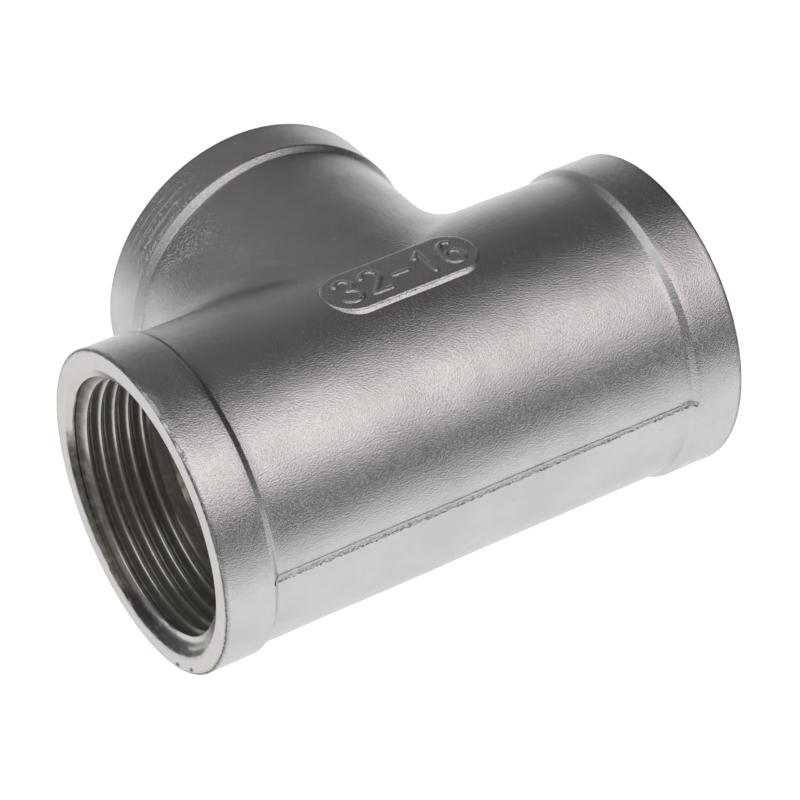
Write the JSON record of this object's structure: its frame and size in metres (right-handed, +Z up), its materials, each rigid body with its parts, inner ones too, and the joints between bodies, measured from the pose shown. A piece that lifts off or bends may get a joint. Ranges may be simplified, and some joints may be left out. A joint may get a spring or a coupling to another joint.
{
  "type": "threaded pipe tee",
  "caption": "Cast stainless pipe tee: a straight run and an equal branch, each mouth with a raised bead and a female pipe thread.",
  "frame": {"origin": "middle of the footprint, on the surface that the tee lies on", "axes": "+X along the run, +Y out of the branch's mouth, +Z up, square to the plane of the three bores"},
  "size_m": [0.089, 0.0696, 0.05],
  "materials": {
    "cast_stainless": "blasted cast surface, machined mouth faces and threads"
  },
  "bodies": {
    "root": {"tee_body": "cast_stainless"}
  },
  "joints": []
}
